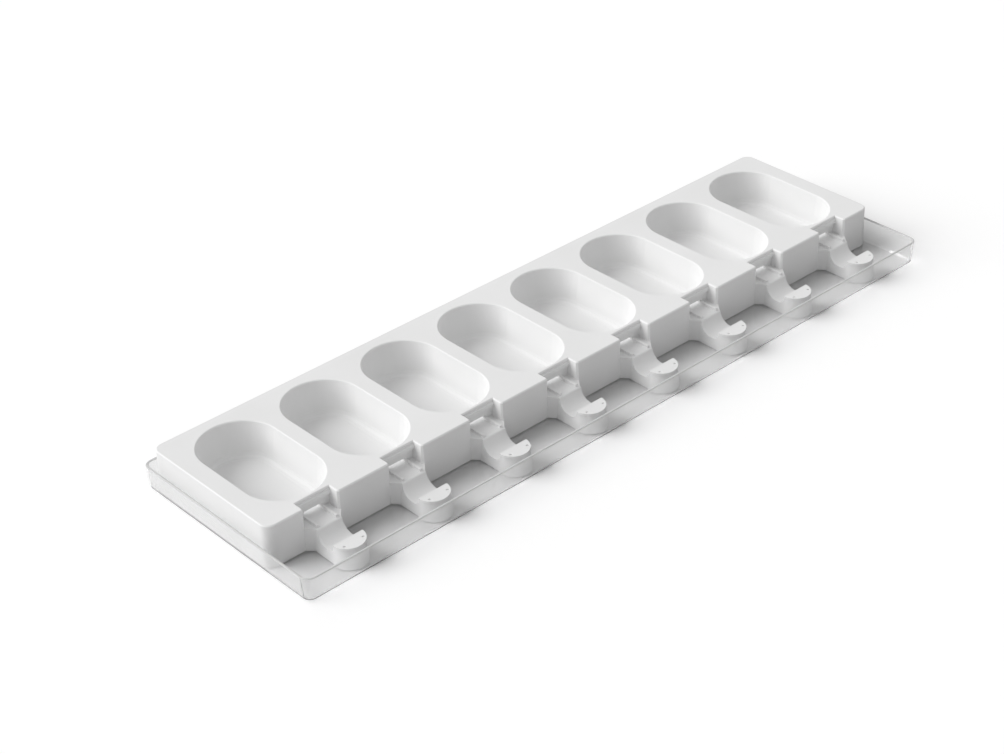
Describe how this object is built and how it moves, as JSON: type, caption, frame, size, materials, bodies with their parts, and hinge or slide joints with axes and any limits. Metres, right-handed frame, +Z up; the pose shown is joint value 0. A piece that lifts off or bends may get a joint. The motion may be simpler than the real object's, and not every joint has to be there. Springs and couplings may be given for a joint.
{
  "type": "ice pop mold",
  "caption": "Long silicone ice pop mold with a row of oval cavities, each with a stick notch and a bending finger tongue, resting in a shallow clear tray.",
  "frame": {"origin": "middle of the tray's flat underside, on the surface that it stands on", "axes": "+X along the row of cavities, to the right as seen from the tongues; +Y from the tongues towards the plain back edge; +Z up"},
  "size_m": [0.3898, 0.1182, 0.0222],
  "materials": {
    "silicone": "satin",
    "clear_plastic": "gloss"
  },
  "bodies": {
    "root": {"silicone_mould": "silicone", "clear_tray": "clear_plastic"}
  },
  "joints": []
}
